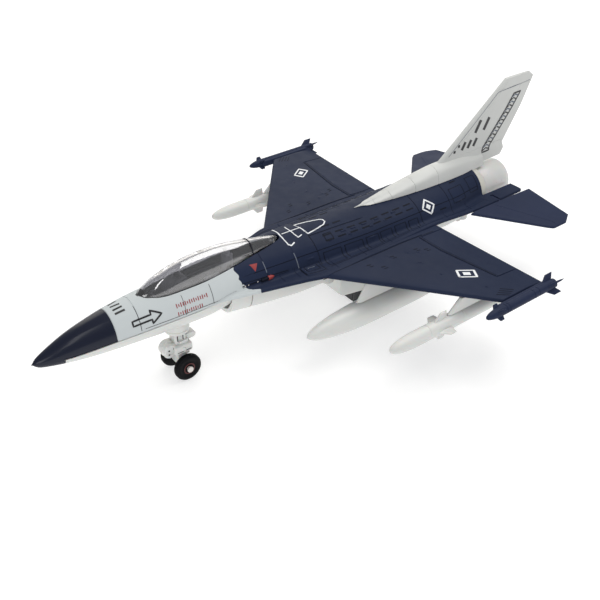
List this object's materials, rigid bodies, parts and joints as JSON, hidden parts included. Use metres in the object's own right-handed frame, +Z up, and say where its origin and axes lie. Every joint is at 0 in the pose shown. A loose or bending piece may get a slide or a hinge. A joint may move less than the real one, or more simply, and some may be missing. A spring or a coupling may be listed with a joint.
{
  "type": "toy jet airplane",
  "caption": "Die-cast pull-back toy jet with swept wings, tail fin, hinged smoked canopy, clip-on stores and a swivelling nose wheel.",
  "frame": {"origin": "centre of the part's footprint, at the floor the wheels stand on", "axes": "+Z up, -Y towards the nose, +X towards the aircraft's left (port) wing tip"},
  "size_m": [0.1356, 0.2106, 0.0684],
  "materials": {
    "navy_paint": "sprayed satin paint over a zinc die casting, faint orange peel",
    "white_plastic": "semi-gloss moulded white plastic",
    "off_white_plastic": "satin moulded off-white plastic",
    "translucent_plastic": "milky translucent moulded plastic",
    "navy_plastic": "glossy moulded navy plastic",
    "smoked_canopy": "clear smoked moulded plastic, very glossy",
    "cockpit_grey": "matt dark grey moulded plastic",
    "black_wheel": "semi-gloss black plastic with a painted ring",
    "black_plastic": "fine-textured black plastic",
    "gear_plastic": "natural acetal plastic",
    "steel": "bright zinc-plated steel",
    "red_plastic": "glossy red button plastic",
    "board_green": "green lacquered circuit board",
    "lamp_lens": "clear water-white lamp epoxy"
  },
  "bodies": {
    "airframe": {"upper_shell": "navy_paint", "lower_shell": "off_white_plastic", "intake_lip": "off_white_plastic", "tail_fin": "white_plastic", "nozzle_ring": "off_white_plastic", "nozzle": "translucent_plastic", "cockpit_tub": "cockpit_grey", "ejection_seat": "cockpit_grey", "instrument_coaming": "cockpit_grey", "canopy_hinge_pin": "steel", "stabilator_left": "navy_plastic", "wingtip_missile_left": "navy_plastic", "fuel_tank_left": "white_plastic", "tank_pylon_left": "white_plastic", "underwing_missile_left": "white_plastic", "missile_pylon_left": "white_plastic", "stabilator_right": "navy_plastic", "wingtip_missile_right": "navy_plastic", "fuel_tank_right": "white_plastic", "tank_pylon_right": "white_plastic", "underwing_missile_right": "white_plastic", "missile_pylon_right": "white_plastic", "motor_case": "black_plastic", "motor_cover": "black_plastic", "idler_shaft": "steel", "barrel_arbor": "steel", "button_cell_1": "steel", "button_cell_2": "steel", "button_cell_3": "steel", "battery_contact_front": "steel", "battery_contact_rear": "steel", "battery_cover": "off_white_plastic", "battery_cover_screw": "steel", "circuit_board": "board_green", "tact_switch": "black_plastic", "nozzle_led": "lamp_lens", "speaker": "black_plastic", "body_screw_front": "steel", "body_screw_mid_left": "steel", "body_screw_mid_right": "steel", "body_screw_rear_left": "steel", "body_screw_rear_right": "steel"},
    "canopy": {"canopy": "smoked_canopy"},
    "nose_leg": {"nose_gear_leg": "white_plastic", "nose_gear_screw": "steel"},
    "nose_wheels": {"nose_axle": "steel", "nose_wheel_left": "black_wheel", "nose_wheel_right": "black_wheel"},
    "main_wheels": {"main_axle": "steel", "main_wheel_left": "black_wheel", "main_wheel_right": "black_wheel", "axle_gear": "gear_plastic"},
    "idler": {"idler_gear": "gear_plastic"},
    "barrel": {"spring_barrel": "gear_plastic", "mainspring": "steel"},
    "sound_button": {"sound_button": "red_plastic"}
  },
  "joints": [
    {"name": "canopy_hinge", "type": "hinge", "parent": "airframe", "child": "canopy", "pos_m": [0, -0.02065, 0.0364], "axis": [-1, 0, 0], "range_deg": [0, 35]},
    {"name": "nose_leg_swivel", "type": "hinge", "parent": "airframe", "child": "nose_leg", "pos_m": [0, -0.05835, 0.0187], "axis": [0, 0, 1], "range_deg": [-45, 45]},
    {"name": "nose_wheel_spin", "type": "hinge", "parent": "nose_leg", "child": "nose_wheels", "pos_m": [0, -0.05805, 0.0047], "axis": [1, 0, 0], "continuous": true},
    {"name": "main_wheel_spin", "type": "hinge", "parent": "airframe", "child": "main_wheels", "pos_m": [0, 0.02125, 0.00475], "axis": [1, 0, 0], "continuous": true},
    {"name": "idler_spin", "type": "hinge", "parent": "airframe", "child": "idler", "pos_m": [0, 0.01725, 0.01025], "axis": [1, 0, 0], "continuous": true},
    {"name": "barrel_spin", "type": "hinge", "parent": "airframe", "child": "barrel", "pos_m": [0, 0.02375, 0.01335], "axis": [1, 0, 0], "continuous": true},
    {"name": "button_press", "type": "slide", "parent": "airframe", "child": "sound_button", "axis": [0, 0, 1], "range_m": [0, 0.0008], "stiffness_N_per_m": 150}
  ],
  "couplings": [
    {"joint": "idler_spin", "follows": "main_wheel_spin", "ratio": -0.41667},
    {"joint": "barrel_spin", "follows": "main_wheel_spin", "ratio": 0.11905}
  ]
}
